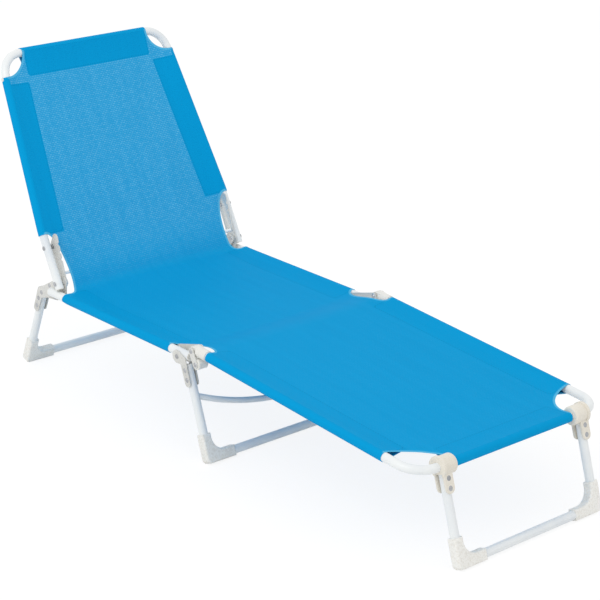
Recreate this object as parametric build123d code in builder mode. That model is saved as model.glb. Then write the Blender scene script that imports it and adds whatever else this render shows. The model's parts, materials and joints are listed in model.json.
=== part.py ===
from build123d import *
import os
from math import atan2, cos, degrees, hypot, radians, sin, tan

# Folding three-leg sun lounger. X runs across it, Y along it with the foot end towards -Y,
# and Z is up. "left" is the -X side. Lengths are in millimetres and angles in degrees.
# A place seen from the side is a pair (run, height): run is the distance from the backrest
# hinge towards the foot end.

# Tubes and sheet
tube_diameter = 20.0
tube_wall = 1.2
brace_diameter = 14.0
back_brace_diameter = 8.0
brace_wall = 1.0
bracket_thickness = 2.5
cheek_thickness = 2.0

# Clearances
fixed_gap = 0.05
running_gap = 0.1
layer_gap = 0.4
cloth_gap = 0.3

# Seat: two straight rails between the backrest hinge and the foot hinge
half_width = 276.0
seat_height = 234.0
rail_rear = -30.0
rail_front = 492.0

# Backrest: a U tube that narrows towards its top
back_hinge_rise = 29.0
back_angle = 61.5
back_length = 557.0
back_top_half_width = 240.0
back_tail = 13.0
back_taper_start = 125.0
back_taper_radius = 300.0
back_corner_radius = 55.0
back_brace_along = 20.0
back_brace_forward = 10.0
back_brace_bow = 55.0

# Foot section: a U tube hinged above the front ends of the rails
foot_hinge_run = 512.0
foot_hinge_rise = 22.0
front_bar_run = 1196.0
front_bar_height = 206.0
foot_corner_radius = 55.0
socket_length = 31.0
socket_wall = 2.4
socket_lug_radius = 10.0

# Legs: three U tubes on corner boots
sole_to_tube = 13.0
leg_bend_radius = 45.0
rear_pivot_run = -88.0
rear_pivot_drop = 22.0
rear_lean = -20.0
rear_half_width = 240.0
middle_pivot_run = 460.0
middle_pivot_drop = 7.0
middle_lean = 20.4
front_lean = 18.0
front_half_width = 206.0
middle_brace_along = 92.0
middle_brace_sag = 60.0

# Leg cheeks: two stamped plates that hold a leg tube beside its pivot
cheek_offset = 18.0
cheek_lobe_radius = 15.0
cheek_edge_radius = 10.5
cheek_rivets = (33.0, 55.0)
cheek_end = 62.0
leg_tube_start = 21.0

# Brackets between the rails, the backrest and the legs
plate_standoff = 2.9
bracket_lug_radius = 14.0
bracket_pivot_radius = 13.0
bracket_tail_radius = 6.5
bracket_inner_lug_radius = 11.0
bracket_rail_rivets = (12.0, 36.0)
bracket_rivets = ((-54.0, 5.0), (-56.0, -15.0), (-33.0, -19.0))
bracket_low_radius = 8.0
front_bracket_radius = 9.0
front_bracket_start = 55.0
plug_depth = 8.0
pad_radius = 5.5
adjuster_length = 105.0
adjuster_spread = 20.0
adjuster_rivet_along = 88.0
adjuster_end_radius = 9.0
adjuster_pitch = 18.0
adjuster_notch = 4.0
strap_radius = 7.5
barrel_diameter = 25.0
barrel_run = 527.0
barrel_drop = 5.0

# Collars that carry the front leg on the front bar
collar_diameter = 42.0
collar_inboard = 27.0
collar_outboard = 13.0
collar_flange_diameter = 46.0
collar_flange_length = 7.0
tongue_length = 57.0
tongue_width = 24.0
tongue_thickness = 4.0
front_tube_start = 15.0
tongue_screws = (25.0, 46.0)

# Corner boots
boot_wall = 2.2
boot_up = 55.0
boot_along = 70.0
boot_corner_radius = 11.0
boot_edge_radius = 5.0

# Rivets, pins and plugs
rivet_radius = 2.6
pin_radius = 3.0
head_radius = 5.5
head_height = 1.6
plug_cap = 2.0
button_radius = 4.5
button_height = 2.0
button_below_top = 57.0

# Stretched cloth, as plain panels between the tubes
cloth_thickness = 4.0
cloth_lift = 4.0
collar_cloth_gap = 3.0
back_cloth_low = 30.0
back_sleeve_low = 120.0
seat_cloth_rear = 12.0
seat_sleeve_rear = 28.0
seat_sleeve_front = 424.0
seat_cloth_front = 494.0
foot_cloth_start = 16.0
foot_sleeve_start = 46.0

tube_radius = tube_diameter / 2
sides = {"left": -1, "right": 1}
back_hinge = (0.0, seat_height + back_hinge_rise)
foot_hinge = (foot_hinge_run, seat_height + foot_hinge_rise)
front_bar = (front_bar_run, front_bar_height)

# The origin lies on the ground below the middle of the whole object's box.
lean = radians(front_lean)
front_sole_run = front_bar_run + (front_bar_height - sole_to_tube) * tan(lean)
boot_reach = tube_radius + boot_wall
boot_half = (boot_reach - boot_edge_radius) * (cos(lean) + sin(lean)) + boot_edge_radius
back_top_run = -back_length * cos(radians(back_angle)) - tube_radius
origin_run = (front_sole_run + boot_half + back_top_run) / 2


def side_point(place):
    """A place (run, height) as (Y, Z) in a side plane."""
    return (origin_run - place[0], place[1])


def point(x, place):
    """A place (run, height) at the offset x, as a point of the model."""
    return Vector(x, origin_run - place[0], place[1])


def step(place, angle, along, across=0.0):
    """The place reached from another one: along the angle from horizontal, then to its left."""
    direction = (cos(radians(angle)), sin(radians(angle)))
    return (
        place[0] + along * direction[0] - across * direction[1],
        place[1] + along * direction[1] + across * direction[0],
    )


def ring(path, diameter, wall):
    """The section of a tube at the start of its path."""
    with BuildSketch(Plane(origin=path @ 0, z_dir=path % 0)) as section:
        Circle(diameter / 2)
        Circle(diameter / 2 - wall, mode=Mode.SUBTRACT)
    return section.sketch


def bent_path(points, bend):
    """Straight runs through the points, joined by bends of one radius."""
    with BuildLine() as route:
        FilletPolyline(*points, radius=bend)
    return route.wire()


def bowed_path(start, middle, end):
    """An even bow from start through middle to end."""
    with BuildLine() as route:
        ThreePointArc(start, middle, end)
    return route.wire()


def link(start, start_radius, end, end_radius):
    """A flat link in a side plane: the hull of a circle at each end."""
    with BuildSketch() as outline:
        with Locations(side_point(start)):
            Circle(start_radius)
        with Locations(side_point(end)):
            Circle(end_radius)
        make_hull()
    return outline.sketch


def crosswise(x_from, x_to, place, radius):
    """A round bar along X at a place seen from the side."""
    centre = point((x_from + x_to) / 2, place)
    bar = Cylinder(radius, abs(x_to - x_from), mode=Mode.PRIVATE)
    return Pos(centre.X, centre.Y, centre.Z) * Rot(0, 90, 0) * bar


def rivet(x_from, x_to, place, radius, first_head=True, last_head=True):
    """A rivet or pin along X, with a low round head outside each of its ends."""
    low, high = min(x_from, x_to), max(x_from, x_to)
    body = crosswise(low, high, place, radius)
    heads = []
    if first_head:
        heads.append((low - head_height / 2, 90))
    if last_head:
        heads.append((high + head_height / 2, -90))
    for x, turn in heads:
        centre = point(x, place)
        dome = Cone(head_radius * 0.6, head_radius, head_height, mode=Mode.PRIVATE)
        body += Pos(centre.X, centre.Y, centre.Z) * Rot(0, turn, 0) * dome
    return body


def save(name, piece):
    """Label a finished piece and write it."""
    piece.label = name
    export_step(piece, f"parts/{name}.step")


class Leg:
    """A U-shaped leg seen from the side: its pivot and its lean from upright, footward positive."""

    def __init__(self, pivot, lean, half):
        self.pivot = pivot
        self.lean = lean
        self.half = half
        self.angle = lean - 90
        self.away = 1 if lean > 0 else -1

    def at(self, along, across=cheek_offset):
        """The place that far down the leg and that far from the pivot's own line."""
        return step(self.pivot, self.angle, along, self.away * across)

    def length(self, across=cheek_offset):
        """The run of the leg tube from beside the pivot to its bottom bar's axis."""
        return (self.at(0, across)[1] - sole_to_tube) / cos(radians(self.lean))


rear_leg = Leg((rear_pivot_run, seat_height - rear_pivot_drop), rear_lean, rear_half_width)
middle_leg = Leg((middle_pivot_run, seat_height - middle_pivot_drop), middle_lean, half_width)
front_leg = Leg(front_bar, front_lean, front_half_width)

os.makedirs("parts", exist_ok=True)

# Layers of plate beside the tubes, as distances from the middle of the lounger
rail_inside = half_width - tube_radius
rail_outside = half_width + tube_radius
bracket_outside = rail_inside - plate_standoff
bracket_inside = bracket_outside - bracket_thickness
adjuster_outside = bracket_inside - layer_gap
adjuster_inside = adjuster_outside - bracket_thickness
inner_bracket_outside = adjuster_inside - layer_gap
inner_bracket_inside = inner_bracket_outside - bracket_thickness
strap_inside = rail_outside + layer_gap + cheek_thickness + layer_gap
strap_outside = strap_inside + bracket_thickness
cloth_half = inner_bracket_inside - head_height - pin_radius
rail_start = (rail_rear, seat_height)
rail_end = (rail_front, seat_height)
barrel = (barrel_run, seat_height - barrel_drop)
rail_rivets = [(rail_rear + along, seat_height) for along in bracket_rail_rivets]
front_rail_rivets = [(rail_front - front_bracket_start, seat_height)]
plate_rivets = [(run, seat_height + rise) for run, rise in bracket_rivets]
foot_angle = degrees(atan2(front_bar[1] - foot_hinge[1], front_bar[0] - foot_hinge[0]))
foot_length = hypot(front_bar[0] - foot_hinge[0], front_bar[1] - foot_hinge[1])
back_direction = 180 - back_angle


def side_plane(x):
    """The plane at the offset x in which Y and Z are seen from the side."""
    return Plane.YZ.offset(x)


def back_place(along, forward=0.0):
    """The place so far up the backrest and in front of its tubes."""
    return step(back_hinge, back_direction, along, -forward)


def foot_place(along, above=0.0):
    """The place so far along the foot section and above its tubes."""
    return step(foot_hinge, foot_angle, along, above)


def holes(places, radius):
    """Round holes in a side plate, for the sketch in hand."""
    with Locations(*[side_point(place) for place in places]):
        Circle(radius, mode=Mode.SUBTRACT)


def cut_crosswise(x_from, x_to, places, radius):
    """Round holes along X, cut from the part in hand."""
    for place in places:
        add(crosswise(x_from, x_to, place, radius), mode=Mode.SUBTRACT)


# ---------------------------------------------------------------- seat rails and their end plugs
for name, side in sides.items():
    with BuildPart() as seat_rail:
        with BuildLine() as rail_line:
            Line(point(side * half_width, rail_start), point(side * half_width, rail_end))
        sweep(sections=ring(rail_line.wire(), tube_diameter, tube_wall), path=rail_line.wire())
        inner_wall = (side * (rail_inside - 1), side * half_width)
        cut_crosswise(*inner_wall, rail_rivets + front_rail_rivets, rivet_radius + fixed_gap)
        both_walls = (side * (rail_inside - 1), side * (rail_outside + 1))
        cut_crosswise(*both_walls, [middle_leg.pivot], pin_radius + fixed_gap)
    save(f"seat_rail_{name}", seat_rail.part)

with BuildPart() as seat_rail_plugs:
    for side in sides.values():
        for place, outward in ((rail_start, 1), (rail_end, -1)):
            with BuildSketch(Plane(origin=point(side * half_width, place), z_dir=(0, outward, 0))):
                Circle(tube_radius)
            extrude(amount=plug_cap)
            with BuildSketch(Plane(origin=point(side * half_width, place), z_dir=(0, -outward, 0))):
                Circle(tube_radius - tube_wall - fixed_gap)
            extrude(amount=plug_depth)
save("seat_rail_plugs", seat_rail_plugs.part)

# ---------------------------------------------------------------- rear brackets: two plates a side
bracket_tail = rail_rivets[-1]
for name, side in sides.items():
    with BuildPart() as rear_bracket:
        with BuildSketch(side_plane(side * bracket_inside)):
            with Locations(side_point(back_hinge)):
                Circle(bracket_lug_radius)
            with Locations(side_point(rear_leg.pivot)):
                Circle(bracket_pivot_radius)
            with Locations(side_point(bracket_tail)):
                Circle(bracket_tail_radius)
            make_hull()
        extrude(amount=side * bracket_thickness)
        for place in rail_rivets:
            add(crosswise(side * bracket_outside, side * (rail_inside - fixed_gap), place, pad_radius))
        add(crosswise(side * bracket_outside, side * (rail_inside - layer_gap), back_hinge, pad_radius))
        span = (side * (bracket_inside - 1), side * rail_inside)
        cut_crosswise(*span, [back_hinge, rear_leg.pivot], pin_radius + fixed_gap)
        cut_crosswise(*span, rail_rivets + plate_rivets, rivet_radius + fixed_gap)
    save(f"rear_bracket_{name}", rear_bracket.part)

    with BuildPart() as rear_bracket_inner:
        with BuildSketch(side_plane(side * inner_bracket_inside)):
            for place, radius in (
                (back_hinge, bracket_inner_lug_radius),
                (rear_leg.pivot, bracket_inner_lug_radius),
                (plate_rivets[-1], bracket_low_radius),
            ):
                with Locations(side_point(place)):
                    Circle(radius)
            make_hull()
            holes([back_hinge, rear_leg.pivot], pin_radius + fixed_gap)
            holes(plate_rivets, rivet_radius + fixed_gap)
        extrude(amount=side * bracket_thickness)
    save(f"rear_bracket_inner_{name}", rear_bracket_inner.part)

# ---------------------------------------------------------------- front brackets, straps and barrels
for name, side in sides.items():
    with BuildPart() as front_bracket:
        with BuildSketch(side_plane(side * bracket_inside)):
            for place in (*front_rail_rivets, foot_hinge, barrel, middle_leg.pivot):
                with Locations(side_point(place)):
                    Circle(front_bracket_radius)
            make_hull()
        extrude(amount=side * bracket_thickness)
        for place in front_rail_rivets:
            add(crosswise(side * bracket_outside, side * (rail_inside - fixed_gap), place, pad_radius))
        span = (side * (bracket_inside - 1), side * rail_inside)
        cut_crosswise(*span, [foot_hinge, middle_leg.pivot], pin_radius + fixed_gap)
        cut_crosswise(*span, front_rail_rivets + [barrel], rivet_radius + fixed_gap)
    save(f"front_bracket_{name}", front_bracket.part)

    with BuildPart() as front_strap:
        with BuildSketch(side_plane(side * strap_inside)):
            add(link(foot_hinge, strap_radius, barrel, strap_radius))
        extrude(amount=side * bracket_thickness)
        add(crosswise(side * rail_outside, side * strap_inside, foot_hinge, pad_radius))
        span = (side * half_width, side * (strap_outside + 1))
        cut_crosswise(*span, [foot_hinge], pin_radius + fixed_gap)
        cut_crosswise(*span, [barrel], rivet_radius + fixed_gap)
    save(f"front_strap_{name}", front_strap.part)

    with BuildPart() as hinge_barrel:
        barrel_ends = (side * (bracket_outside + fixed_gap), side * (strap_inside - fixed_gap))
        add(crosswise(*barrel_ends, barrel, barrel_diameter / 2))
        fillet(hinge_barrel.edges().filter_by(GeomType.CIRCLE), 1.5)
        cut_crosswise(*barrel_ends, [barrel], rivet_radius + fixed_gap)
    save(f"hinge_barrel_{name}", hinge_barrel.part)

# ---------------------------------------------------------------- rivets and pins of the seat
with BuildPart() as seat_rivets:
    for side in sides.values():
        for place in rail_rivets + front_rail_rivets:
            shank_end = side * (rail_inside + tube_wall * 3)
            add(rivet(side * bracket_inside, shank_end, place, rivet_radius, side > 0, side < 0))
        for place in plate_rivets:
            add(rivet(side * inner_bracket_inside, side * bracket_outside, place, rivet_radius))
        add(rivet(side * bracket_inside, side * strap_outside, barrel, rivet_radius))
save("seat_rivets", seat_rivets.part)

pin_spans = {
    "backrest_pins": (back_hinge, inner_bracket_inside, rail_outside + layer_gap),
    "foot_pins": (foot_hinge, bracket_inside, strap_outside),
    "middle_leg_pins": (middle_leg.pivot, bracket_inside, strap_inside),
    "rear_leg_pins": (
        rear_leg.pivot,
        rear_half_width - tube_radius - fixed_gap - cheek_thickness - layer_gap,
        bracket_outside,
    ),
}
for name, (place, inner, outer) in pin_spans.items():
    with BuildPart() as pins:
        for side in sides.values():
            add(rivet(side * inner, side * outer, place, pin_radius))
    save(name, pins.part)

# ---------------------------------------------------------------- backrest frame
back_path = bent_path(
    [
        point(-half_width, back_place(-back_tail)),
        point(-half_width, back_place(back_taper_start)),
        point(-back_top_half_width, back_place(back_length)),
        point(back_top_half_width, back_place(back_length)),
        point(half_width, back_place(back_taper_start)),
        point(half_width, back_place(-back_tail)),
    ],
    [back_taper_radius, back_corner_radius, back_corner_radius, back_taper_radius],
)
with BuildPart() as backrest_tube:
    sweep(sections=ring(back_path, tube_diameter, tube_wall), path=back_path)
    reach = rail_outside + 1
    cut_crosswise(-reach, reach, [back_hinge], pin_radius + running_gap)
    cut_crosswise(-reach, reach, [back_place(adjuster_rivet_along)], rivet_radius + fixed_gap)
save("backrest_tube", backrest_tube.part)

adjuster_top = back_place(adjuster_length, adjuster_spread)
adjuster_rivet = back_place(adjuster_rivet_along)
adjuster_lug = bracket_lug_radius - 2
for name, side in sides.items():
    with BuildPart() as adjuster:
        with BuildSketch(side_plane(side * adjuster_inside)):
            for place, radius in (
                (back_hinge, adjuster_lug),
                (adjuster_top, adjuster_end_radius),
                (adjuster_rivet, adjuster_end_radius),
            ):
                with Locations(side_point(place)):
                    Circle(radius)
            make_hull()
            holes([back_hinge], pin_radius + running_gap)
            holes([adjuster_rivet], rivet_radius + fixed_gap)
            slope = (adjuster_spread + adjuster_end_radius - adjuster_lug) / adjuster_length
            for count in range(3):
                along = adjuster_length - adjuster_pitch * (count + 1)
                holes([back_place(along, adjuster_lug + slope * along)], adjuster_notch)
        extrude(amount=side * bracket_thickness)
    save(f"adjuster_{name}", adjuster.part)

brace_end = adjuster_inside - fixed_gap
brace_place = back_place(back_brace_along, back_brace_forward)
brace_middle = back_place(back_brace_along, back_brace_forward - back_brace_bow)
brace_points = (point(-brace_end, brace_place), point(0, brace_middle), point(brace_end, brace_place))
back_brace_path = bowed_path(*brace_points)
with BuildPart() as backrest_brace:
    sweep(sections=ring(back_brace_path, back_brace_diameter, brace_wall), path=back_brace_path)
    for side in sides.values():
        trim = (side * brace_end, side * (brace_end + back_brace_diameter))
        cut_crosswise(*trim, [brace_place], back_brace_diameter)
save("backrest_brace", backrest_brace.part)

with BuildPart() as backrest_rivets:
    for side in sides.values():
        add(rivet(side * adjuster_inside, side * rail_outside, adjuster_rivet, rivet_radius))
        washer = (side * (adjuster_outside + fixed_gap), side * (rail_inside - fixed_gap))
        add(crosswise(*washer, adjuster_rivet, pad_radius))
save("backrest_rivets", backrest_rivets.part)

with BuildPart() as backrest_plugs:
    for side in sides.values():
        outward = back_path % 1
        with BuildSketch(Plane(origin=point(side * half_width, back_place(-back_tail)), z_dir=outward)):
            Circle(tube_radius)
        extrude(amount=plug_cap)
        with BuildSketch(Plane(origin=point(side * half_width, back_place(-back_tail)), z_dir=-outward)):
            Circle(tube_radius - tube_wall - fixed_gap)
        extrude(amount=back_tail - pin_radius - plug_cap)
save("backrest_plugs", backrest_plugs.part)

# ---------------------------------------------------------------- foot section frame
tube_in_socket = socket_lug_radius + 4
foot_path = bent_path(
    [
        point(-half_width, foot_place(tube_in_socket)),
        point(-half_width, foot_place(foot_length)),
        point(half_width, foot_place(foot_length)),
        point(half_width, foot_place(tube_in_socket)),
    ],
    foot_corner_radius,
)
with BuildPart() as foot_tube:
    sweep(sections=ring(foot_path, tube_diameter, tube_wall), path=foot_path)
save("foot_tube", foot_tube.part)

for name, side in sides.items():
    with BuildPart() as foot_socket:
        lug_low = side * (rail_inside + layer_gap)
        with BuildSketch(side_plane(lug_low)):
            add(link(foot_hinge, socket_lug_radius, foot_place(tube_in_socket), socket_lug_radius))
        extrude(amount=side * (tube_diameter - layer_gap * 2))
        outward = foot_path % 0
        sleeve_start = point(side * half_width, foot_place(socket_lug_radius))
        with BuildSketch(Plane(origin=sleeve_start, z_dir=outward)):
            Circle(tube_radius + socket_wall)
        extrude(amount=socket_length)
        fillet(foot_socket.edges().filter_by(GeomType.CIRCLE).sort_by(Edge.length)[-4:], 1.0)
        tube_start = point(side * half_width, foot_place(tube_in_socket))
        with BuildSketch(Plane(origin=tube_start, z_dir=outward)):
            Circle(tube_radius + fixed_gap)
        extrude(amount=socket_length, mode=Mode.SUBTRACT)
        span = (side * (rail_inside - 1), side * (rail_outside + 1))
        cut_crosswise(*span, [foot_hinge], pin_radius + running_gap)
    save(f"foot_socket_{name}", foot_socket.part)

# ---------------------------------------------------------------- rear and middle legs
cheek_gaps = {"rear": (fixed_gap, fixed_gap), "middle": (layer_gap, layer_gap)}
leg_tubes = {}
for leg_name, leg in {"rear": rear_leg, "middle": middle_leg}.items():
    inner_gap, outer_gap = cheek_gaps[leg_name]
    rivet_places = [leg.at(along) for along in cheek_rivets]
    inner_cheek = leg.half - tube_radius - inner_gap
    outer_cheek = leg.half + tube_radius + outer_gap
    leg_path = bent_path(
        [
            point(-leg.half, leg.at(leg_tube_start)),
            point(-leg.half, leg.at(leg.length())),
            point(leg.half, leg.at(leg.length())),
            point(leg.half, leg.at(leg_tube_start)),
        ],
        leg_bend_radius,
    )
    leg_tubes[leg_name] = leg_path
    with BuildPart() as leg_tube:
        sweep(sections=ring(leg_path, tube_diameter, tube_wall), path=leg_path)
        reach = leg.half + tube_diameter
        cut_crosswise(-reach, reach, rivet_places, rivet_radius + fixed_gap)
    save(f"{leg_name}_leg_tube", leg_tube.part)

    for name, side in sides.items():
        for layer, x_near, outward in (("inner", inner_cheek, -1), ("outer", outer_cheek, 1)):
            with BuildPart() as cheek:
                with BuildSketch(side_plane(side * x_near)):
                    shoulder = leg.at(cheek_edge_radius)
                    add(link(leg.pivot, cheek_lobe_radius, shoulder, cheek_edge_radius))
                    add(link(shoulder, cheek_edge_radius, leg.at(cheek_end), cheek_edge_radius - 1))
                    holes([leg.pivot], pin_radius + running_gap)
                    holes(rivet_places, rivet_radius + fixed_gap)
                extrude(amount=side * outward * cheek_thickness)
            save(f"{leg_name}_cheek_{layer}_{name}", cheek.part)

    with BuildPart() as leg_rivets:
        for side in sides.values():
            for place in rivet_places:
                plates = (side * (inner_cheek - cheek_thickness), side * (outer_cheek + cheek_thickness))
                add(rivet(*plates, place, rivet_radius))
    save(f"{leg_name}_leg_rivets", leg_rivets.part)

with BuildPart() as rear_leg_spacers:
    between_cheeks = (rear_half_width - tube_radius, rear_half_width + tube_radius)
    outer_cheek_face = rear_half_width + tube_radius + fixed_gap + cheek_thickness
    beside_bracket = (outer_cheek_face, inner_bracket_inside - layer_gap)
    for side in sides.values():
        for inner, outer in (between_cheeks, beside_bracket):
            ends = (side * (inner + fixed_gap), side * (outer - fixed_gap))
            add(crosswise(*ends, rear_leg.pivot, pad_radius))
            cut_crosswise(*ends, [rear_leg.pivot], pin_radius + running_gap)
save("rear_leg_spacers", rear_leg_spacers.part)

middle_brace_ends = [point(side * half_width, middle_leg.at(middle_brace_along)) for side in sides.values()]
middle_brace_low = point(0, middle_leg.at(middle_brace_along + middle_brace_sag))
middle_brace_path = bowed_path(middle_brace_ends[0], middle_brace_low, middle_brace_ends[1])
with BuildPart() as middle_leg_brace:
    sweep(sections=ring(middle_brace_path, brace_diameter, brace_wall), path=middle_brace_path)
    for side in sides.values():
        tube_start = point(side * half_width, middle_leg.at(leg_tube_start))
        with BuildSketch(Plane(origin=tube_start, z_dir=leg_tubes["middle"] % 0)):
            Circle(tube_radius + fixed_gap)
        extrude(amount=middle_leg.length() / 2 + middle_brace_along, mode=Mode.SUBTRACT)
save("middle_leg_brace", middle_leg_brace.part)

# ---------------------------------------------------------------- front leg and its collars
front_down = point(0, front_leg.at(1, 0)) - point(0, front_leg.at(0, 0))
front_path = bent_path(
    [
        point(-front_leg.half, front_leg.at(front_tube_start, 0)),
        point(-front_leg.half, front_leg.at(front_leg.length(0), 0)),
        point(front_leg.half, front_leg.at(front_leg.length(0), 0)),
        point(front_leg.half, front_leg.at(front_tube_start, 0)),
    ],
    leg_bend_radius,
)
leg_tubes["front"] = front_path
screw_reach = tube_radius + tongue_thickness
with BuildPart() as front_leg_tube:
    sweep(sections=ring(front_path, tube_diameter, tube_wall), path=front_path)
    for side in sides.values():
        for along in tongue_screws:
            centre = point(side * front_leg.half, front_leg.at(along, 0))
            axis = Plane(origin=centre, x_dir=(1, 0, 0), z_dir=Vector(1, 0, 0).cross(front_down))
            bore = Cylinder(rivet_radius + fixed_gap, tube_diameter * 2, mode=Mode.PRIVATE)
            add(axis.location * bore, mode=Mode.SUBTRACT)
save("front_leg_tube", front_leg_tube.part)

for name, side in sides.items():
    collar_plane = Plane(
        origin=point(side * front_leg.half, front_leg.pivot),
        x_dir=(1, 0, 0),
        z_dir=Vector(1, 0, 0).cross(front_down),
    )
    with BuildPart() as collar:
        inboard = side * (front_leg.half - collar_inboard)
        outboard = side * (front_leg.half + collar_outboard)
        flange_start = outboard - side * collar_flange_length
        add(crosswise(inboard, outboard, front_leg.pivot, collar_diameter / 2))
        fillet(collar.edges().filter_by(GeomType.CIRCLE).sort_by(Axis.X)[0 if side > 0 else -1], 5.0)
        add(crosswise(flange_start, outboard, front_leg.pivot, collar_flange_diameter / 2))
        with BuildSketch(collar_plane):
            with Locations((0, tongue_length / 2 - tongue_width / 4)):
                Rectangle(tongue_width, tongue_length - tongue_width / 2)
            with Locations((0, tongue_length - tongue_width / 2)):
                Circle(tongue_width / 2)
        extrude(amount=tube_radius + fixed_gap + tongue_thickness, both=True)
        with BuildSketch(collar_plane):
            with Locations((0, tongue_length)):
                Rectangle(tongue_width * 2, 2 * (tongue_length - front_tube_start + fixed_gap * 2))
        extrude(amount=tube_radius + fixed_gap, both=True, mode=Mode.SUBTRACT)
        reach = collar_flange_length
        span = (inboard - side * reach, outboard + side * reach)
        cut_crosswise(*span, [front_leg.pivot], tube_radius + running_gap)
        for along in tongue_screws:
            centre = point(side * front_leg.half, front_leg.at(along, 0))
            axis = Plane(origin=centre, x_dir=(1, 0, 0), z_dir=collar_plane.z_dir)
            bore = Cylinder(rivet_radius + fixed_gap, tube_diameter * 2, mode=Mode.PRIVATE)
            add(axis.location * bore, mode=Mode.SUBTRACT)
    save(f"front_collar_{name}", collar.part)

with BuildPart() as front_leg_screws:
    for side in sides.values():
        for along in tongue_screws:
            centre = point(side * front_leg.half, front_leg.at(along, 0))
            axis = Plane(origin=centre, x_dir=(1, 0, 0), z_dir=Vector(1, 0, 0).cross(front_down))
            depth = tube_radius + fixed_gap + tongue_thickness
            add(axis.location * Cylinder(rivet_radius, depth * 2, mode=Mode.PRIVATE))
            for end in (-1, 1):
                head = Cone(head_radius, head_radius * 0.6, head_height, mode=Mode.PRIVATE)
                turn = Rot(0, 0, 0) if end > 0 else Rot(180, 0, 0)
                add(axis.location * Pos(0, 0, end * (depth + head_height / 2)) * turn * head)
save("front_leg_screws", front_leg_screws.part)

# ---------------------------------------------------------------- corner boots of the three legs
for leg_name, leg in {"rear": rear_leg, "middle": middle_leg, "front": front_leg}.items():
    across = 0 if leg_name == "front" else cheek_offset
    bottom = leg.at(leg.length(across), across)
    up = point(0, leg.at(0, across)) - point(0, leg.at(1, across))
    for name, side in sides.items():
        boot_plane = Plane(
            origin=point(side * leg.half, bottom),
            x_dir=(-side, 0, 0),
            z_dir=Vector(-side, 0, 0).cross(up),
        )
        with BuildPart() as boot:
            with BuildSketch(boot_plane) as outline:
                with BuildLine():
                    Polyline(
                        (-boot_reach, boot_up),
                        (-boot_reach, -boot_reach),
                        (boot_along, -boot_reach),
                        (boot_along, boot_reach),
                        (boot_reach, boot_reach),
                        (boot_reach, boot_up),
                        close=True,
                    )
                make_face()
                sole_corner = outline.vertices().sort_by_distance((-boot_reach, -boot_reach))[0]
                fillet(sole_corner, boot_corner_radius)
                inner_corner = outline.vertices().sort_by_distance((boot_reach, boot_reach))[0]
                fillet(inner_corner, leg_bend_radius - boot_reach)
            extrude(amount=boot_reach, both=True)
            side_edges = boot.edges().filter_by(
                lambda edge: abs(boot_plane.to_local_coords(edge.center()).Z) > boot_reach / 2
            )
            fillet(side_edges, boot_edge_radius)
            tube = leg_tubes[leg_name]
            with BuildSketch(Plane(origin=tube @ 0, z_dir=tube % 0)) as bore:
                Circle(tube_radius + fixed_gap)
            sweep(sections=bore.sketch, path=tube, mode=Mode.SUBTRACT)
            split(bisect_by=Plane.XY, keep=Keep.TOP)
        save(f"{leg_name}_boot_{name}", boot.part)

# ---------------------------------------------------------------- buttons beside the top of the backrest
button_along = back_length - button_below_top
button_share = (button_along - back_taper_start) / (back_length - back_taper_start)
back_taper = atan2(half_width - back_top_half_width, back_length - back_taper_start)
button_x = half_width + (back_top_half_width - half_width) * button_share
button_x += tube_radius / cos(back_taper) + button_radius * sin(back_taper) + fixed_gap
with BuildPart() as backrest_buttons:
    for side in sides.values():
        ends = (side * button_x, side * (button_x + button_height))
        add(crosswise(*ends, back_place(button_along), button_radius))
save("backrest_buttons", backrest_buttons.part)

# ---------------------------------------------------------------- stretched cloth as plain panels
with BuildPart() as seat_fabric:
    with BuildSketch(Plane.XY.offset(seat_height + cloth_lift - cloth_thickness / 2)):
        rear_edge, front_edge = side_point((seat_cloth_rear, 0))[0], side_point((seat_cloth_front, 0))[0]
        with Locations((0, (rear_edge + front_edge) / 2)):
            Rectangle(cloth_half * 2, rear_edge - front_edge)
        rear_edge, front_edge = side_point((seat_sleeve_rear, 0))[0], side_point((seat_sleeve_front, 0))[0]
        with Locations((0, (rear_edge + front_edge) / 2)):
            Rectangle((rail_inside - cloth_gap) * 2, rear_edge - front_edge)
    extrude(amount=cloth_thickness)
save("seat_fabric", seat_fabric.part)

back_up = (point(0, back_place(1)) - point(0, back_place(0))).normalized()
back_plane = Plane(
    origin=point(0, back_place(0, cloth_lift - cloth_thickness / 2)),
    x_dir=(1, 0, 0),
    z_dir=Vector(1, 0, 0).cross(back_up),
)
cloth_top = back_length - tube_radius - cloth_gap
with BuildPart() as backrest_fabric:
    with BuildSketch(back_plane) as outline:
        with BuildLine():
            Polyline(
                (-cloth_half, back_cloth_low),
                (cloth_half, back_cloth_low),
                (cloth_half, back_sleeve_low),
                (rail_inside - cloth_gap, back_sleeve_low),
                (back_top_half_width - tube_radius - cloth_gap, cloth_top),
                (-(back_top_half_width - tube_radius - cloth_gap), cloth_top),
                (-(rail_inside - cloth_gap), back_sleeve_low),
                (-cloth_half, back_sleeve_low),
                close=True,
            )
        make_face()
        chamfer(outline.vertices().group_by(Axis.Y)[-1], back_corner_radius)
    extrude(amount=cloth_thickness)
save("backrest_fabric", backrest_fabric.part)

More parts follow.
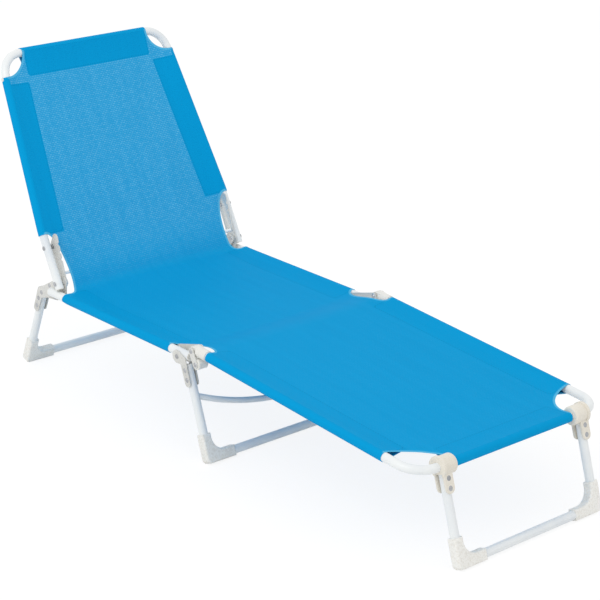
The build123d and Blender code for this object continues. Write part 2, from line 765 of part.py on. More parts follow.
foot_up = (point(0, foot_place(1)) - point(0, foot_place(0))).normalized()
foot_plane = Plane(
    origin=point(0, foot_place(0, cloth_lift - cloth_thickness / 2)),
    x_dir=(-1, 0, 0),
    z_dir=Vector(-1, 0, 0).cross(foot_up),
)
foot_cloth_end = foot_length - tube_radius - cloth_gap
with BuildPart() as foot_fabric:
    with BuildSketch(foot_plane) as outline:
        with BuildLine():
            Polyline(
                (-cloth_half, foot_cloth_start),
                (cloth_half, foot_cloth_start),
                (cloth_half, foot_sleeve_start),
                (rail_inside - cloth_gap, foot_sleeve_start),
                (rail_inside - cloth_gap, foot_cloth_end),
                (-(rail_inside - cloth_gap), foot_cloth_end),
                (-(rail_inside - cloth_gap), foot_sleeve_start),
                (-cloth_half, foot_sleeve_start),
                close=True,
            )
        make_face()
        corner_cut = rail_inside - (front_half_width - collar_inboard - collar_cloth_gap)
        with Locations((rail_inside, foot_length), (-rail_inside, foot_length)):
            Circle(corner_cut, mode=Mode.SUBTRACT)
    extrude(amount=cloth_thickness)
save("foot_fabric", foot_fabric.part)
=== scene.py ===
# %% [markdown]
# # A folding sun lounger with a mesh cover
# The lounger is a frame of bent steel tube with three U-shaped legs, and one long piece of
# coated mesh that is sewn into sleeves round the tubes. The metal and plastic pieces are
# already exact solids, so this lesson gives them their finishes, and it builds the cover,
# the light and the camera. The solids are loaded first and never moved, because every
# new piece takes its place from them.

import json

import bpy
import numpy as np
from mathutils import Matrix, Vector


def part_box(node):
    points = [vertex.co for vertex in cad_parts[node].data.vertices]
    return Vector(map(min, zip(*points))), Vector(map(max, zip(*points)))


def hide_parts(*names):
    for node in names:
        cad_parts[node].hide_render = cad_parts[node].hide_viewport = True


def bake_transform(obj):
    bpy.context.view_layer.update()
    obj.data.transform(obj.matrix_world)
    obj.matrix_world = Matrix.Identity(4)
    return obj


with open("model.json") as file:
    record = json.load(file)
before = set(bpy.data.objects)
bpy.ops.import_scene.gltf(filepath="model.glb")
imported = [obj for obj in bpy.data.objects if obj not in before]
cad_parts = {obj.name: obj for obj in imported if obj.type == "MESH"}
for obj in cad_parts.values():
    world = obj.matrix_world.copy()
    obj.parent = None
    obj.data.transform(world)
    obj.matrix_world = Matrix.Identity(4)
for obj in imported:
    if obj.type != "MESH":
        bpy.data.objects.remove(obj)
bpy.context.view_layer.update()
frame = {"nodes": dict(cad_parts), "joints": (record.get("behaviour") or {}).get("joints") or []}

# %% [markdown]
# ## Helpers for finishes
# A colour is written as the hex code that a paint chart or a screen shows. Blender
# calculates with light, not with screen values, so one function turns the code into linear
# values. A second one adds a shader node, sets it and links it, so that a material reads
# as a short list of steps. A Mix node has sockets of the same name for numbers and for
# colours, so its colour sockets are picked by their number.

# %% Colour and node helpers
FROM_COLOUR, TO_COLOUR, MIXED_COLOUR = 6, 7, 2


def linear(code):
    """Screen colour to light: c / 12.92 for dark values, else ((c + 0.055) / 1.055) to the 2.4."""
    screen = np.array([int(code[at : at + 2], 16) for at in (1, 3, 5)]) / 255
    light = np.where(screen < 0.04045, screen / 12.92, ((screen + 0.055) / 1.055) ** 2.4)
    return (*(float(value) for value in light), 1.0)


def add_node(tree, kind, settings, inputs):
    """One node of a kind: its settings, then each input as a value or as a link from a socket."""
    node = tree.nodes.new(kind)
    for name, value in settings.items():
        setattr(node, name, value)
    for name, value in inputs.items():
        if isinstance(value, bpy.types.NodeSocket):
            tree.links.new(value, node.inputs[name])
        else:
            node.inputs[name].default_value = value
    return node


def new_material(name):
    """An empty material and its node tree."""
    material = bpy.data.materials.new(name)
    material.use_nodes = True
    material.node_tree.nodes.clear()
    return material, material.node_tree


print("mid grey becomes", linear("#808080")[0])

# %% [markdown]
# ## Hard finishes
# Powder coat is a plastic paint that is baked onto the tube: smooth, a little wavy like
# orange peel, with soft broad highlights. Moulded plastic has a fine grain from its mould.
# Pressed steel fittings are plated and dull, and zinc rivets are bare metal. They differ in
# colour, gloss, grain size and depth, so one function builds them all: a fine noise for
# the grain, a broad noise for the handling marks, and a bump in real millimetres.


# %% Build the hard finishes
def grained(name, colour, shade, rough, grain_mm, depth_mm, metal=0.0, speck=0.5):
    """Colour runs from shade to colour with two noises: the grain's size, and forty times that."""
    material, tree = new_material(name)
    place = add_node(tree, "ShaderNodeTexCoord", {}, {}).outputs["Object"]
    fine = add_node(
        tree, "ShaderNodeTexNoise", {}, {"Vector": place, "Scale": 1000 / grain_mm, "Detail": 2.0}
    ).outputs["Fac"]
    broad = add_node(
        tree, "ShaderNodeTexNoise", {}, {"Vector": place, "Scale": 25 / grain_mm, "Detail": 4.0}
    ).outputs["Fac"]
    blend = add_node(
        tree, "ShaderNodeMix", {"data_type": "FLOAT"}, {"Factor": speck, "A": broad, "B": fine}
    ).outputs["Result"]
    spread = add_node(
        tree, "ShaderNodeMapRange", {}, {"Value": blend, "From Min": 0.36, "From Max": 0.56}
    ).outputs["Result"]
    tint = add_node(
        tree,
        "ShaderNodeMix",
        {"data_type": "RGBA"},
        {"Factor": spread, FROM_COLOUR: linear(shade), TO_COLOUR: linear(colour)},
    ).outputs[MIXED_COLOUR]
    gloss = add_node(
        tree,
        "ShaderNodeMapRange",
        {},
        {
            "Value": broad,
            "From Min": 0.3,
            "From Max": 0.7,
            "To Min": rough + 0.07,
            "To Max": rough - 0.04,
        },
    ).outputs["Result"]
    bump = add_node(
        tree, "ShaderNodeBump", {}, {"Height": fine, "Distance": depth_mm / 1000, "Strength": 0.6}
    ).outputs["Normal"]
    shader = add_node(
        tree,
        "ShaderNodeBsdfPrincipled",
        {},
        {"Base Color": tint, "Roughness": gloss, "Metallic": metal, "Normal": bump},
    )
    add_node(tree, "ShaderNodeOutputMaterial", {}, {"Surface": shader.outputs["BSDF"]})
    return material


finishes = {
    "powder_coat": grained("white_powder_coat", "#EDF0F0", "#E2E7EB", 0.3, 3.0, 0.04, speck=0.15),
    "pressed_steel": grained(
        "plated_pressed_steel", "#DCDCD8", "#C4C4BF", 0.42, 1.6, 0.04, metal=0.15
    ),
    "zinc": grained("zinc_plate", "#B9BBBE", "#96989C", 0.36, 1.2, 0.03, metal=1.0),
    "cream_nylon": grained("cream_nylon", "#ECE7DC", "#E1DACB", 0.42, 2.2, 0.05),
    "white_plastic": grained("moulded_white_plastic", "#EAE9E4", "#DEDDD7", 0.4, 2.0, 0.05),
    "speckled_polythene": grained(
        "speckled_polythene", "#F3F2ED", "#E3E0D8", 0.5, 4.0, 0.06, speck=0.6
    ),
}
print("hard finishes:", list(finishes))

# %% [markdown]
# ## Which solid gets which finish
# The names of the solids say what they are, so a short table of name endings and
# beginnings is enough. The first entry that fits is used.

# %% Finish the solids
finish_words = (
    ("boot", "speckled_polythene"),
    ("collar", "cream_nylon"),
    ("socket", "white_plastic"),
    ("plugs", "white_plastic"),
    ("buttons", "white_plastic"),
    ("barrel", "white_plastic"),
    ("spacers", "white_plastic"),
    ("rivets", "zinc"),
    ("pins", "zinc"),
    ("screws", "zinc"),
    ("bracket", "pressed_steel"),
    ("strap", "pressed_steel"),
    ("cheek", "pressed_steel"),
    ("adjuster", "pressed_steel"),
    ("", "powder_coat"),
)
for name, solid in frame["nodes"].items():
    finish = next(finish for word, finish in finish_words if word in name)
    for slot in solid.material_slots:
        slot.material = finishes[finish]
    print(name, "->", finish)

# %% [markdown]
# ## Where the cover runs
# Seen from the side, the cover follows the tubes: down the backrest, round a soft bend
# above the hinge, along the seat, over the small step at the foot hinge, and on to the front
# bar. That line is worked out once, as a list of closely spaced places. A point of
# the cover is then a distance along the line, a distance across, and a height above it.

# %% The side line of the cover
tube_radius = 0.010
joint_at = {joint["name"]: np.array(joint["pos_m"]) for joint in frame["joints"]}
hinge = joint_at["backrest_recline"]
foot_hinge = joint_at["foot_fold"]
back_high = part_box("backrest_tube")[1]
foot_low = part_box("foot_tube")[0]
rail_low, rail_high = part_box("seat_rail_right")
seat_level = (rail_low.z + rail_high.z) / 2
seat_half = rail_high.x - tube_radius
top_bar = np.array([hinge[1] - back_high.y + tube_radius, back_high.z - tube_radius])
front_bar = np.array([hinge[1] - foot_low.y - tube_radius, foot_low.z + tube_radius])
hinge_side = np.array([0.0, hinge[2]])
foot_side = np.array([hinge[1] - foot_hinge[1], foot_hinge[2]])
back_length = np.linalg.norm(top_bar - hinge_side)
back_up = (top_bar - hinge_side) / back_length
recline = np.arctan2(back_up[1], -back_up[0])
bend_radius = 0.040
bend_foot_run = 0.018
foot_step = (0.430, 0.545)


def side_line():
    """Places (run, height) from the top bar to the front bar: a line, an arc of the bend radius
    that touches backrest and seat, then the seat level eased into the foot section's slope."""
    corner = hinge_side - back_up * (hinge_side[1] - seat_level) / back_up[1]
    tangent = bend_radius * np.tan(recline / 2)
    down = np.linspace(0, 1, 200)[:, None]
    straight = top_bar + (corner + back_up * tangent - top_bar) * down
    turn = np.linspace(-np.pi / 2 - recline, -np.pi / 2, 60)[1:]
    middle = corner + np.array([tangent, bend_radius])
    arc = middle + bend_radius * np.stack([np.cos(turn), np.sin(turn)], 1)
    run = np.linspace(arc[-1, 0], front_bar[0], 500)[1:]
    slope = (front_bar[1] - foot_side[1]) / (front_bar[0] - foot_side[0])
    foot_height = foot_side[1] + slope * (run - foot_side[0])
    share = np.clip((run - foot_step[0]) / (foot_step[1] - foot_step[0]), 0, 1)
    share = share * share * (3 - 2 * share)
    height = seat_level + (foot_height - seat_level) * share
    return np.concatenate([straight, arc, np.stack([run, height], 1)])


line = side_line()
line_at = np.concatenate([[0], np.cumsum(np.linalg.norm(np.diff(line, axis=0), axis=1))])
line_way = np.gradient(line, line_at, axis=0)
line_way /= np.linalg.norm(line_way, axis=1)[:, None]
cover_length = line_at[-1]


def at_run(run):
    """The distance along the line at a run past the bend."""
    past = line[:, 0] > hinge_side[0] + bend_foot_run
    return float(np.interp(run, line[past, 0], line_at[past]))


print("line of the cover:", round(cover_length, 4), "m, backrest", round(back_length, 4), "m")

# %% [markdown]
# ## The outline of the cover
# The cover is cut back wherever it would meet a hinge or a corner of the tubes: rounded
# bites at the top corners, long bays at the two hinges, and bigger rounded bites at the
# front corners. Between them it is sewn round the tubes. One function gives half the width at
# every distance along, so that edge, sleeves and stitching all agree.

# %% Half widths
top_half = 0.240
taper_start = 0.125
top_bite = 0.054
front_bite = (0.100, 0.092)
bracket_end = hinge[1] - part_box("rear_bracket_right")[0].y
seat_sleeve_start = max(bracket_end + 0.004, 0.030)
back_bay_reach = 0.119
foot_bay = (0.426, 0.556)
bays = (
    (back_length - back_bay_reach, at_run(seat_sleeve_start), 0.037),
    (at_run(foot_bay[0]), at_run(foot_bay[1]), 0.029),
)
bay_powers = (0.45, 0.25)
bay_peak = 0.634
sleeves = (
    (top_bite, bays[0][0]),
    (bays[0][1], bays[1][0]),
    (bays[1][1], cover_length - front_bite[1]),
)


def tube_half(s):
    """Distance of the side tube's axis from the middle, narrowing evenly up the backrest."""
    up = np.clip((back_length - s - taper_start) / (back_length - taper_start), 0, 1)
    return seat_half + (top_half - seat_half) * up


def cover_half(s):
    """Tube line less the bites: quarter circle, two lopsided bays q^a (1-q)^b, quarter ellipse."""
    half = tube_half(s)
    half = half - np.sqrt(np.clip(top_bite**2 - s**2, 0, None))
    for start, end, depth in bays:
        share = np.clip((s - start) / (end - start), 0, 1)
        bay = share ** bay_powers[0] * (1 - share) ** bay_powers[1]
        half = half - depth * bay / bay_peak
    left = np.clip((cover_length - s) / front_bite[1], 0, 1)
    return half - front_bite[0] * np.sqrt(1 - left**2)


bay_middle = np.array(sum(bays[0][:2]) / 2)
print("half width at the hinge bay:", round(float(cover_half(bay_middle)), 3))

# %% [markdown]
# ## The height of the cloth
# Stretched mesh is flat in the middle and rises to the top of each tube that it is sewn
# round. It also gives a little under its own weight, and it bulges forward where it
# rounds the bend above the hinge. Each of these is a smooth function of place, and the
# height is their sum.

# %% Heights and places
sleeve_depth = 0.060
wrap_radius = tube_radius + 0.0009
rest_height = 0.003
bend_at = back_length + 0.025
end_ease = 0.12
sag_depth = 0.006
bulge_height = 0.020
bulge_reach = 0.075
layer_gap = 0.0016


def near(distance):
    """One at a tube and none a sleeve's depth away, falling as the 1.6th power."""
    return np.clip(1 - distance / sleeve_depth, 0, 1) ** 1.6


def cloth_height(x, s):
    """Rest height, plus the rise to each tube, less the sag, plus the bulge at the bend."""
    aside = tube_half(s) - np.abs(x)
    away = (1 - near(aside)) * (1 - near(s)) * (1 - near(cover_length - s))
    inside = np.clip(aside / tube_half(s), 0, 1)
    belly = inside * (2 - inside)
    ends = np.clip(s / end_ease, 0, 1) * np.clip((cover_length - s) / end_ease, 0, 1)
    sag = sag_depth * belly * ends
    bulge = bulge_height * belly * np.exp(-(((s - bend_at) / bulge_reach) ** 2))
    return rest_height + (wrap_radius - rest_height) * (1 - away) - sag + bulge


def cloth_place(x, s, height):
    """The point across, along and above: the line's place plus its upright times the height."""
    over = np.minimum(s, 0) + np.maximum(s - cover_length, 0)
    run = np.interp(s, line_at, line[:, 0])
    level = np.interp(s, line_at, line[:, 1])
    way_run = np.interp(s, line_at, line_way[:, 0])
    way_level = np.interp(s, line_at, line_way[:, 1])
    size = np.hypot(way_run, way_level)
    way_run, way_level = way_run / size, way_level / size
    run = run + way_run * over - way_level * height
    level = level + way_level * over + way_run * height
    return np.stack([x, hinge[1] - run, level], -1)


print("height beside a tube:", round(float(cloth_height(np.array(0.27), np.array(0.9))), 4))

# %% [markdown]
# ## Patches of the cover
# The cover could be one grid, but its sleeves turn back under it, so it is built from
# patches: a panel between the tubes, and a sleeve patch round each stretch of tube. Side
# sleeves have the panel's own rows, so they share its border points. Bar sleeves have even
# columns of their own, so they meet the panel edge to edge. Every patch is a grid of two
# parameters. Each point keeps its flat place on the cloth for the weave, its distance
# inside the doubled hem, and its distance from a cut edge, which the finish reads later.


# %% Patch builders
half_turn = np.linspace(0, np.pi, 13)
inward = np.linspace(0, sleeve_depth, 9)[1:]
edge_crowding = 0.55


def spaced(start, end, pitch, ends_dense=False):
    """Distances from start to end about a pitch apart, or cosine spaced, closer at both ends."""
    count = max(int(round((end - start) / pitch)), 2) + 1
    share = np.linspace(0, 1, count)
    if ends_dense:
        share = (1 - np.cos(np.pi * share)) / 2
    return start + (end - start) * share


def panel(rows):
    """The cloth between the tube lines: x is the half width times a share from -1 to 1."""
    share = np.linspace(-1, 1, 113)
    share = (1 - edge_crowding) * share + edge_crowding * np.sin(share * np.pi / 2)
    s, part = np.meshgrid(rows, share, indexing="ij")
    x = part * cover_half(s)
    return x, s, cloth_height(x, s), x, s


def side_sleeve(rows, side):
    """Round the side tube: half a turn at the wrap radius, then in to the stitching below."""
    s, out = np.meshgrid(rows, wrap_radius * np.sin(half_turn), indexing="ij")
    height = np.broadcast_to(wrap_radius * np.cos(half_turn), s.shape)
    x = tube_half(s) + out
    flat = tube_half(s) + wrap_radius * half_turn
    under_s, under_in = np.meshgrid(rows, inward, indexing="ij")
    under_x = tube_half(under_s) - under_in
    meet = cloth_height(under_x, under_s) - layer_gap
    share = np.broadcast_to(inward / sleeve_depth, under_s.shape)
    under_height = -wrap_radius + (meet + wrap_radius) * share**1.3
    under_flat = tube_half(under_s) + wrap_radius * np.pi + under_in
    x, s = np.hstack([x, under_x]), np.hstack([s, under_s])
    height, flat = np.hstack([height, under_height]), np.hstack([flat, under_flat])
    return side * x, s, height, side * flat, s


def bar_sleeve(half, bar_at, way):
    """Round a cross bar: half a turn at the wrap radius, then back to the stitching below."""
    across = spaced(-half, half, 0.008)
    along = np.concatenate([way * wrap_radius * np.sin(half_turn), -way * inward]) + bar_at
    flat = np.concatenate([wrap_radius * half_turn, wrap_radius * np.pi + inward]) * way + bar_at
    s, x = np.meshgrid(along, across, indexing="ij")
    share = np.concatenate([0 * half_turn, inward / sleeve_depth])[:, None]
    level_part = np.full(len(inward), -wrap_radius)
    round_height = np.concatenate([wrap_radius * np.cos(half_turn), level_part])[:, None]
    meet = cloth_height(x, s) - layer_gap
    height = round_height + (meet + wrap_radius) * share**1.3
    return x, s, height, x, np.broadcast_to(flat[:, None], s.shape)


print("rows of a dense stretch:", len(spaced(0, 0.1, 0.005, True)))

# %% [markdown]
# ## Hems, cut edges and painted light through the mesh
# A sleeve is a strip of the cover that is folded under and sewn down 60 mm in, so there the
# mesh lies double and looks darker: it is denser, and it gets none of the painted light that
# the single layer shows. The side bands stop short of the top bar, and the top and front bands
# stop short of the corners, so the corners are single and take that painted light. The
# cut edges are whipped with thread. Signed distances describe all of that: they are
# smooth, so a coarse grid still draws a crisp line.


# %% Distances on the cloth
side_band_start = 0.075
top_band_inset = 0.057
front_band_inset = 0.004
band_overlap = 0.002
under_distance = 0.03
fade_before = 0.10
fade_length = 0.16


def hem_distance(x, s, under):
    """Distance inside the doubled bands: the greatest of the side, top and front bands' own."""
    aside = sleeve_depth - (tube_half(s) - np.abs(x))
    bands = []
    starts = (side_band_start, sleeves[1][0], sleeves[2][0])
    ends = (sleeves[0][1], sleeves[1][1], sleeves[2][1])
    for start, end in zip(starts, ends):
        bands.append(np.minimum(aside, np.minimum(s - start, end - s) + band_overlap))
    top_reach = top_half - top_band_inset - np.abs(x)
    bands.append(np.minimum(sleeve_depth - s, top_reach))
    front_reach = seat_half - front_bite[0] - front_band_inset - np.abs(x)
    bands.append(np.minimum(sleeve_depth - (cover_length - s), front_reach))
    return np.where(under, under_distance, np.max(bands, axis=0))


def edge_distance(x, s):
    """Distance to the nearest point of the cut edges, which are sampled from the half widths."""
    front_corner = (cover_length - front_bite[1], cover_length)
    stretches = [(0, top_bite), bays[0][:2], bays[1][:2], front_corner]
    along = np.concatenate([spaced(start, end, 0.003, True) for start, end in stretches])
    across = cover_half(along)
    gap = np.hypot(np.abs(x)[..., None] - across, s[..., None] - along)
    return gap.min(-1)


def painted_light_share(s):
    """Painted light share: one on the backrest, where light comes through the mesh from the bright
    backdrop, easing to none on the seat.
    """
    share = np.clip((s - back_length + fade_before) / fade_length, 0, 1)
    return 1 - share * share * (3 - 2 * share)


print("openness at the top and on the seat:", painted_light_share(np.array([0.1, 0.9])))

# %% [markdown]
# ## From grids to meshes
# A grid of points becomes a mesh by joining each point to its right and lower neighbours.
# Border points that patches share are merged afterwards, which joins the side sleeves to
# the panel. A bar sleeve stays a closed shell of its own, against the panel's end. A
# Solidify modifier then gives the cloth its real thickness of about a millimetre. The
# result is kept as the mesh, and its rims are marked sharp, so that their shading does not
# bleed onto the face.

# %% Mesh builder
border_merge = 0.00005
rim_angle = 60


def grid_faces(rows, columns, first):
    """Four corners of each cell, as point numbers counted row by row from the first."""
    number = first + np.arange(rows * columns).reshape(rows, columns)
    cells = [number[:-1, :-1], number[1:, :-1], number[1:, 1:], number[:-1, 1:]]
    return np.stack(cells, -1).reshape(-1, 4)


def cloth_piece(name, patches, thickness=0.0011):
    """Joins patches of (x, s, height, flat across, flat along, under, turned) into one cloth."""
    points, faces, flats, hems, edges, painted_lights = [], [], [], [], [], []
    count = 0
    for x, s, height, flat_x, flat_s, under, turned in patches:
        cells = grid_faces(*x.shape, count)
        faces.append(cells[:, ::-1] if turned else cells)
        points.append(cloth_place(x, s, height).reshape(-1, 3))
        flats.append(np.stack([flat_x, flat_s], -1).reshape(-1, 2))
        hems.append(hem_distance(x, s, under).ravel())
        edges.append(edge_distance(x, s).ravel())
        painted_lights.append(painted_light_share(s).ravel())
        count += x.size
    mesh = bpy.data.meshes.new(name)
    joined = np.concatenate(points)
    mesh.from_pydata(joined.tolist(), [], np.concatenate(faces).tolist())
    # The open layer holds the painted light share: how much the backrest is lightened for light
    # coming through the mesh.
    for label, values in (("hem", hems), ("edge", edges), ("open", painted_lights)):
        layer = mesh.attributes.new(label, "FLOAT", "POINT")
        layer.data.foreach_set("value", np.concatenate(values).astype(np.float32))
    corner = np.empty(len(mesh.loops), dtype=np.int32)
    mesh.loops.foreach_get("vertex_index", corner)
    flat_map = mesh.uv_layers.new(name="flat")
    flat_map.data.foreach_set("uv", np.concatenate(flats)[corner].astype(np.float32).ravel())
    mesh.polygons.foreach_set("use_smooth", np.ones(len(mesh.polygons), dtype=bool))
    piece = bpy.data.objects.new(name, mesh)
    bpy.context.scene.collection.objects.link(piece)
    weld = piece.modifiers.new("shared borders", "WELD")
    weld.merge_threshold = border_merge
    solid = piece.modifiers.new("thickness", "SOLIDIFY")
    solid.thickness = thickness
    solid.offset = 0.0
    area = sum(polygon.area for polygon in mesh.polygons)
    graph = bpy.context.evaluated_depsgraph_get()
    whole = bpy.data.meshes.new_from_object(
        piece.evaluated_get(graph), preserve_all_data_layers=True, depsgraph=graph
    )
    whole.set_sharp_from_angle(angle=np.radians(rim_angle))
    piece.modifiers.clear()
    piece.data = whole
    print(name, "points", len(whole.vertices), "area", round(area, 4), "m2")
    return piece, area


# %% [markdown]
# ## The two halves of the cover
# The real cover is one length of mesh. It bends over two joints, the backrest hinge and
# the foot hinge, and a piece can follow only one joint, so it is made in two halves that
# meet in the middle of the seat, where nothing moves. They share the row of points where
# they meet, and past it the rear half dips under the front one, so no gap shows.

# %% Backrest half
meeting = at_run(0.245)
tuck = 0.012
tuck_drop = 0.0014
row_pitch = 0.012
row_slack = 1e-9


def rows_between(rows, start, end):
    """The rows of a stretch, both ends included."""
    return rows[(rows >= start - row_slack) & (rows <= end + row_slack)]


rear_rows = np.unique(
    np.concatenate(
        [
            spaced(0, top_bite, 0.0035, True),
            spaced(*sleeves[0], row_pitch),
            spaced(*bays[0][:2], 0.005, True),
            spaced(sleeves[1][0], meeting, row_pitch),
        ]
    )
)
tucked_rows = np.concatenate([rear_rows, meeting + tuck * np.array([0.5, 1.0])])
x, s, height, flat_x, flat_s = panel(tucked_rows)
height = height - tuck_drop * np.clip((s - meeting) / tuck, 0, 1)
rear_patches = [(x, s, height, flat_x, flat_s, False, False)]
for side in (-1, 1):
    for start, end in (sleeves[0], (sleeves[1][0], meeting)):
        rows = rows_between(rear_rows, start, end)
        rear_patches.append((*side_sleeve(rows, side), True, side < 0))
rear_patches.append((*bar_sleeve(top_half - top_bite, 0.0, -1), True, True))
rear_cover, rear_area = cloth_piece("cover_backrest_half", rear_patches)

# %% Foot half
front_rows = np.unique(
    np.concatenate(
        [
            spaced(meeting, bays[1][0], row_pitch),
            spaced(*bays[1][:2], 0.004, True),
            spaced(*sleeves[2], row_pitch),
            spaced(sleeves[2][1], cover_length, 0.005, True),
        ]
    )
)
front_patches = [(*panel(front_rows), False, False)]
for side in (-1, 1):
    for start, end in ((meeting, bays[1][0]), sleeves[2]):
        rows = rows_between(front_rows, start, end)
        front_patches.append((*side_sleeve(rows, side), True, side < 0))
front_patches.append((*bar_sleeve(seat_half - front_bite[0], cover_length, 1), True, False))
front_cover, front_area = cloth_piece("cover_foot_half", front_patches)

# %% [markdown]
# ## The mesh cloth
# The cloth is polyester yarn coated with PVC in an open weave, about 1.5 mm from thread to
# thread, which is too fine to show here. It is drawn as dashes 8 mm long in rows 4.6 mm
# apart, as the eye sees the pairs of threads. Where light comes through the single
# layer, on the backrest, the dashes are painted paler: that is painted light, the bright
# backdrop seen through the holes, not a colour of the cloth. Where the mesh lies double, in
# the hems, it is an even deep blue. Faint lengthwise streaks come from uneven tension in the weave.

# %% Mesh cloth finish
cloth, tree = new_material("coated_mesh_cloth")
flat = add_node(tree, "ShaderNodeUVMap", {"uv_map": "flat"}, {}).outputs["UV"]
dashes = add_node(
    tree,
    "ShaderNodeTexBrick",
    {"offset": 0.5},
    {
        "Vector": flat,
        "Color1": (1, 1, 1, 1),
        "Color2": (0.35, 0.35, 0.35, 1),
        "Mortar": (0, 0, 0, 1),
        "Scale": 1000.0,
        "Mortar Size": 1.0,
        "Mortar Smooth": 0.3,
        "Brick Width": 8.0,
        "Row Height": 4.6,
    },
).outputs["Color"]
stretched = add_node(
    tree, "ShaderNodeMapping", {}, {"Vector": flat, "Scale": (60.0, 4.0, 1.0)}
).outputs["Vector"]
streaks = add_node(
    tree, "ShaderNodeTexNoise", {}, {"Vector": stretched, "Scale": 1.0, "Detail": 3.0}
).outputs["Fac"]
attribute = {
    name: add_node(tree, "ShaderNodeAttribute", {"attribute_name": name}, {}).outputs["Fac"]
    for name in ("hem", "edge", "open")
}
single = add_node(
    tree,
    "ShaderNodeMapRange",
    {},
    {
        "Value": attribute["hem"],
        "From Min": -0.0006,
        "From Max": 0.0006,
        "To Min": 1.0,
        "To Max": 0.0,
    },
).outputs["Result"]
# Painted light: the open layer lightens the backrest for the bright backdrop seen through the mesh,
# and the seat keeps only a trace.
light_through = add_node(
    tree, "ShaderNodeMapRange", {}, {"Value": attribute["open"], "To Min": 0.06, "To Max": 1.0}
).outputs["Result"]
# The painted light falls only where the mesh is single, not in the doubled hems.
pale = add_node(
    tree, "ShaderNodeMath", {"operation": "MULTIPLY"}, {0: single, 1: light_through}
).outputs["Value"]
dash_share = add_node(
    tree, "ShaderNodeMapRange", {}, {"Value": dashes, "To Min": 0.12, "To Max": 0.75}
).outputs["Result"]
pale_dashes = add_node(
    tree, "ShaderNodeMath", {"operation": "MULTIPLY"}, {0: pale, 1: dash_share}
).outputs["Value"]
# The pale blue is painted light through the mesh; the deep blue is the cloth's own colour, and the
# dashes are its weave.
weave_and_painted_light = add_node(
    tree,
    "ShaderNodeMix",
    {"data_type": "RGBA"},
    {"Factor": pale_dashes, FROM_COLOUR: linear("#009BD6"), TO_COLOUR: linear("#6CC0EA")},
).outputs[MIXED_COLOUR]
streak_share = add_node(
    tree,
    "ShaderNodeMapRange",
    {},
    {"Value": streaks, "From Min": 0.35, "From Max": 0.65, "To Min": 0.0, "To Max": 0.22},
).outputs["Result"]
streaky = add_node(
    tree,
    "ShaderNodeMix",
    {"data_type": "RGBA"},
    {"Factor": streak_share, FROM_COLOUR: weave_and_painted_light, TO_COLOUR: linear("#0092CC")},
).outputs[MIXED_COLOUR]
print("mesh cloth started:", len(tree.nodes), "nodes")

# %% [markdown]
# ## Stitching and whipped edges
# A row of lockstitch holds each hem, about 3 mm inside its edge, with 7 mm stitches. It is
# drawn where the hem distance is near 3 mm and a wave along the cloth is high. The cut
# edges are whipped with a thicker pale thread, drawn within 5 mm of an edge.

# %% Stitching finish
stitch_length = 0.007
row_inset = 0.003
split = add_node(tree, "ShaderNodeSeparateXYZ", {}, {"Vector": flat})
along_both = add_node(
    tree, "ShaderNodeMath", {"operation": "ADD"}, {0: split.outputs["X"], 1: split.outputs["Y"]}
).outputs["Value"]
stitch_turns = add_node(
    tree, "ShaderNodeMath", {"operation": "MULTIPLY"}, {0: along_both, 1: 2 * np.pi / stitch_length}
).outputs["Value"]
stitch_wave = add_node(
    tree, "ShaderNodeMath", {"operation": "SINE"}, {0: stitch_turns}
).outputs["Value"]
stitch_on = add_node(
    tree, "ShaderNodeMapRange", {}, {"Value": stitch_wave, "From Min": -0.5, "From Max": -0.1}
).outputs["Result"]
beside_row = add_node(
    tree, "ShaderNodeMath", {"operation": "SUBTRACT"}, {0: attribute["hem"], 1: row_inset}
).outputs["Value"]
off_row = add_node(
    tree, "ShaderNodeMath", {"operation": "ABSOLUTE"}, {0: beside_row}
).outputs["Value"]
on_row = add_node(
    tree,
    "ShaderNodeMapRange",
    {},
    {"Value": off_row, "From Min": 0.0006, "From Max": 0.0014, "To Min": 0.8, "To Max": 0.0},
).outputs["Result"]
stitch = add_node(
    tree, "ShaderNodeMath", {"operation": "MULTIPLY"}, {0: on_row, 1: stitch_on}
).outputs["Value"]
stitched = add_node(
    tree,
    "ShaderNodeMix",
    {"data_type": "RGBA"},
    {"Factor": stitch, FROM_COLOUR: streaky, TO_COLOUR: linear("#0088C0")},
).outputs[MIXED_COLOUR]
whip = add_node(
    tree,
    "ShaderNodeMapRange",
    {},
    {
        "Value": attribute["edge"],
        "From Min": 0.0045,
        "From Max": 0.006,
        "To Min": 0.85,
        "To Max": 0.0,
    },
).outputs["Result"]
finished = add_node(
    tree,
    "ShaderNodeMix",
    {"data_type": "RGBA"},
    {"Factor": whip, FROM_COLOUR: stitched, TO_COLOUR: linear("#58B9E2")},
).outputs[MIXED_COLOUR]
relief = add_node(
    tree, "ShaderNodeMath", {"operation": "ADD"}, {0: dashes, 1: stitch}
).outputs["Value"]
bump = add_node(
    tree, "ShaderNodeBump", {}, {"Height": relief, "Distance": 0.0003, "Strength": 0.5}
).outputs["Normal"]
shader = add_node(
    tree,
    "ShaderNodeBsdfPrincipled",
    {},
    {
        "Base Color": finished,
        "Roughness": 0.7,
        "Specular IOR Level": 0.05,
        "Normal": bump,
    },
)
add_node(tree, "ShaderNodeOutputMaterial", {}, {"Surface": shader.outputs["BSDF"]})
print("mesh cloth:", len(tree.nodes), "nodes")

# %% [markdown]
# ## Put the cover on the frame
# Both halves get the mesh cloth finish, their placing is written into their points, and the
# model's own fabric solids are hidden, since the cover takes their place. The halves include
# their sleeves and turnings.

# %% Finish the cover and hide the model's fabric
for piece in (rear_cover, front_cover):
    piece.data.materials.append(cloth)
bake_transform(rear_cover)
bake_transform(front_cover)
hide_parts("backrest_fabric", "seat_fabric")
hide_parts("foot_fabric")

# %% [markdown]
# ## Floor and backdrop
# The lounger stands on a plain pale floor that runs out of view, with a white background.
# The floor mixes a plain white surface, which keeps the shadow, with a little white light of
# its own that only the camera and reflections see, so it looks white without throwing extra
# light on the lounger.


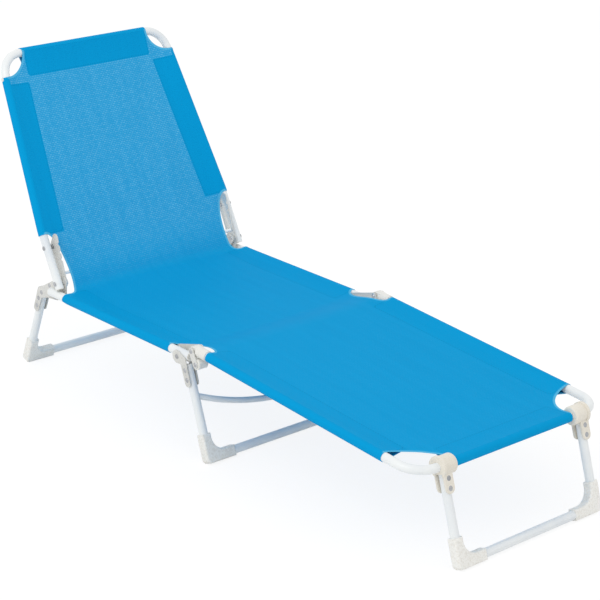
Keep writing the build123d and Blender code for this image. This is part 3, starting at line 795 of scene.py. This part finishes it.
# %% Floor and world
def seen_share(tree):
    """One for rays that show a surface, straight, mirrored or through, and none for its light."""
    path = add_node(tree, "ShaderNodeLightPath", {}, {})
    direct = add_node(
        tree,
        "ShaderNodeMath",
        {"operation": "ADD"},
        {0: path.outputs["Is Camera Ray"], 1: path.outputs["Is Glossy Ray"]},
    ).outputs["Value"]
    return add_node(
        tree,
        "ShaderNodeMath",
        {"operation": "ADD", "use_clamp": True},
        {0: direct, 1: path.outputs["Is Transmission Ray"]},
    ).outputs["Value"]


floor_level = -0.0005
floor_mesh = bpy.data.meshes.new("floor")
reach = np.linspace(-9, 9, 3)
across, along = np.meshgrid(reach, reach, indexing="ij")
floor_points = np.stack([across, along, np.full_like(across, floor_level)], -1).reshape(-1, 3)
floor_mesh.from_pydata(floor_points.tolist(), [], grid_faces(3, 3, 0).tolist())
floor = bpy.data.objects.new("floor", floor_mesh)
bpy.context.scene.collection.objects.link(floor)
floor_finish, tree = new_material("white_floor_paint")
own_share = add_node(
    tree, "ShaderNodeMath", {"operation": "MULTIPLY"}, {0: seen_share(tree), 1: 0.78}
).outputs["Value"]
paint = add_node(tree, "ShaderNodeBsdfDiffuse", {}, {"Color": linear("#F4F4F4")}).outputs["BSDF"]
own = add_node(tree, "ShaderNodeEmission", {}, {"Strength": 1.08}).outputs["Emission"]
mixed = add_node(
    tree, "ShaderNodeMixShader", {}, {0: own_share, 1: paint, 2: own}
).outputs["Shader"]
add_node(tree, "ShaderNodeOutputMaterial", {}, {"Surface": mixed})
floor.data.materials.append(floor_finish)

world = bpy.data.worlds.new("studio")
world.use_nodes = True
tree = world.node_tree
tree.nodes.clear()
strength = add_node(
    tree, "ShaderNodeMapRange", {}, {"Value": seen_share(tree), "To Min": 0.88, "To Max": 1.0}
).outputs["Result"]
sky = add_node(
    tree, "ShaderNodeBackground", {}, {"Color": (1.0, 1.0, 1.0, 1.0), "Strength": strength}
).outputs["Background"]
add_node(tree, "ShaderNodeOutputWorld", {}, {"Surface": sky})
bpy.context.scene.world = world
print("floor and world ready")

# %% [markdown]
# ## Light
# Plain studio light: one large soft lamp above and to the left of the camera, which
# shapes the round tubes, and an even white surround that fills the shadows.


# %% Lamp
def soft_lamp(name, place, aim, size, watts):
    """A square area lamp at a place, turned to an aim."""
    lamp = bpy.data.lights.new(name, "AREA")
    lamp.size = size
    lamp.energy = watts
    holder = bpy.data.objects.new(name, lamp)
    holder.location = place
    holder.rotation_euler = (Vector(aim) - Vector(place)).to_track_quat("-Z", "Y").to_euler()
    bpy.context.scene.collection.objects.link(holder)
    return holder


key = soft_lamp("key", (-3.2, -0.4, 3.4), (0, 0, 0.2), 2.6, 40.0)
print("lamp:", key.data.energy, "W")

# %% [markdown]
# ## Camera
# The camera stands off the foot end, on the left, and looks down a little along the
# lounger with a long lens. Its three axes are written out as unit vectors, which is
# clearer than three angles when a view has been worked out by measuring.

# %% Camera
right = Vector((0.74406, -0.66772, 0.02295)).normalized()
up = Vector((0.21860, 0.27576, 0.93604)).normalized()
back = right.cross(up).normalized()
camera = bpy.data.cameras.new("camera")
camera.lens = 124.35
camera.sensor_width = 36.0
camera.shift_x = 0.0067
camera.shift_y = -0.0008
holder = bpy.data.objects.new("camera", camera)
turn = Matrix((right, back.cross(right), back)).transposed().to_4x4()
holder.matrix_world = Matrix.Translation((-2.9482, hinge[1] - 3.7580, 1.9539)) @ turn
bpy.context.scene.collection.objects.link(holder)
bpy.context.scene.camera = holder
bpy.context.scene.view_settings.view_transform = "Standard"
print("camera at", [round(value, 3) for value in holder.location])
